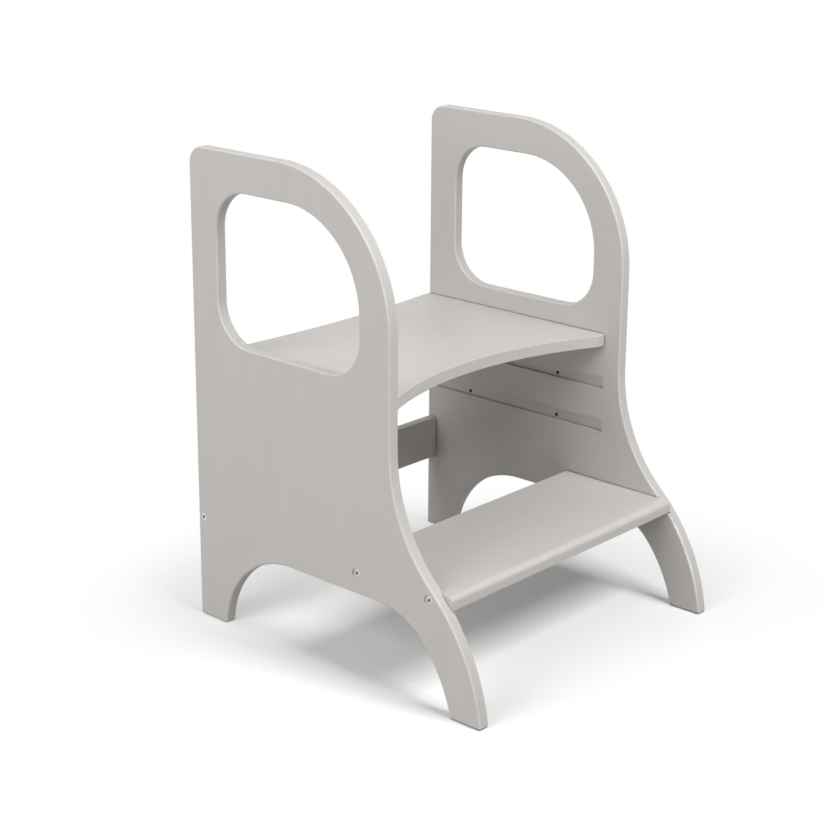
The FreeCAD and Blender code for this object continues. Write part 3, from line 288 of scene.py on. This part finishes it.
def paint_nodes():
    upright_board = painted_wood("painted_panel", grain=Z, face=X)
    flat_board = painted_wood("painted_board", grain=X, face=Z)
    rail_board = painted_wood("painted_rail", grain=X, face=Y)
    finishes = {"painted_wood": flat_board,
                "zinc_screw": plated_metal("zinc_screw", *SCREW_ZINC),
                "cam_zinc": plated_metal("cam_zinc", *CAM_ZINC)}
    own_finish = {"left_side_panel": upright_board, "right_side_panel": upright_board,
                  "back_rail": rail_board}
    for part in frame["record"]["subparts"]:
        node = frame["nodes"][part["node"]]
        node.data.materials.clear()
        node.data.materials.append(own_finish.get(part["node"], finishes[part["material_slot"]]))


# ---------------------------------------------------------------- camera, floor and light

def make_camera():
    data = bpy.data.cameras.new("camera")
    data.lens = CAMERA_LENS
    data.sensor_width = CAMERA_SENSOR
    data.shift_y = CAMERA_SHIFT
    camera = bpy.data.objects.new("camera", data)
    bpy.context.scene.collection.objects.link(camera)
    back = Vector((math.sin(CAMERA_AZIMUTH) * math.cos(CAMERA_ELEVATION),
                   -math.cos(CAMERA_AZIMUTH) * math.cos(CAMERA_ELEVATION),
                   math.sin(CAMERA_ELEVATION)))
    level = Vector((math.cos(CAMERA_AZIMUTH), math.sin(CAMERA_AZIMUTH), 0))
    upright = back.cross(level)
    right = math.cos(CAMERA_ROLL) * level + math.sin(CAMERA_ROLL) * upright
    up = back.cross(right)
    axes = Matrix((right, up, back)).transposed()
    camera.matrix_world = Matrix.Translation(CAMERA_PLACE) @ axes.to_4x4()
    bpy.context.scene.camera = camera


def seen_directly(n):
    """1 for rays that show a surface to the camera, straight, mirrored or through glass, else 0."""
    path = n.add("ShaderNodeLightPath").outputs
    seen = n.maths("ADD", path["Is Camera Ray"], path["Is Glossy Ray"])
    return n.maths("ADD", seen, path["Is Transmission Ray"], clamp=True)


def make_floor():
    """A white floor that takes a shadow near the object, fades to plain white and bounces grey."""
    mesh = bpy.data.meshes.new("floor")
    corners = [(-FLOOR_REACH, -FLOOR_REACH, 0), (FLOOR_REACH, -FLOOR_REACH, 0),
               (FLOOR_REACH, FLOOR_REACH, 0), (-FLOOR_REACH, FLOOR_REACH, 0)]
    mesh.from_pydata(corners, [], [(0, 1, 2, 3)])
    floor = bpy.data.objects.new("floor", mesh)
    floor.location.z = -FLOOR_DROP
    bpy.context.scene.collection.objects.link(floor)

    material, n = new_material("floor")
    place = n.add("ShaderNodeTexCoord").outputs["Object"]
    distance = n.add("ShaderNodeVectorMath", {0: place, 1: SHADOW_MIDDLE}, operation="DISTANCE")
    faded = n.spread(distance.outputs["Value"], *SHADOW_FADE)
    seen = seen_directly(n)
    matt = n.add("ShaderNodeBsdfDiffuse", {"Color": n.mix(seen, FLOOR_BOUNCE, WHITE)}).outputs[0]
    glow = n.add("ShaderNodeEmission", {"Color": WHITE, "Strength": FLOOR_GLOW}).outputs[0]
    near = n.add("ShaderNodeAddShader", {0: matt, 1: glow}).outputs[0]
    far = n.add("ShaderNodeEmission", {"Color": WHITE, "Strength": 1.0}).outputs[0]
    shown = n.add("ShaderNodeMixShader", {0: faded, 1: near, 2: far}).outputs[0]
    lit = n.add("ShaderNodeMixShader", {0: seen, 1: matt, 2: shown}).outputs[0]
    n.add("ShaderNodeOutputMaterial", {"Surface": lit})
    mesh.materials.append(material)


def make_world():
    """A white background that lights the object only as much as a dim room would."""
    world = bpy.data.worlds.new("studio")
    bpy.context.scene.world = world
    world.use_nodes = True
    world.node_tree.nodes.clear()
    n = Nodes(world.node_tree)
    light = n.add("ShaderNodeBackground", {"Color": WHITE, "Strength": WORLD_LEVEL}).outputs[0]
    white = n.add("ShaderNodeBackground", {"Color": WHITE, "Strength": 1.0}).outputs[0]
    mixed = n.add("ShaderNodeMixShader", {0: seen_directly(n), 1: light, 2: white}).outputs[0]
    n.add("ShaderNodeOutputWorld", {"Surface": mixed})


def add_softbox(name, place, aim, size, level):
    """A square soft lamp. Its level is how bright it alone would show a white card at the aim."""
    distance = (Vector(place) - Vector(aim)).length
    data = bpy.data.lights.new(name, "AREA")
    data.shape = "SQUARE"
    data.size = size
    data.energy = level * (math.pi * distance) ** 2
    lamp = bpy.data.objects.new(name, data)
    lamp.location = place
    lamp.rotation_euler = (Vector(aim) - Vector(place)).to_track_quat("-Z", "Y").to_euler()
    lamp.visible_camera = False
    bpy.context.scene.collection.objects.link(lamp)


make_camera()
paint_nodes()
make_floor()
make_world()
for lamp_name, lamp_place, lamp_size, lamp_level in SOFTBOXES:
    add_softbox(lamp_name, lamp_place, MIDDLE, lamp_size, lamp_level)
bpy.context.scene.view_settings.view_transform = "Standard"
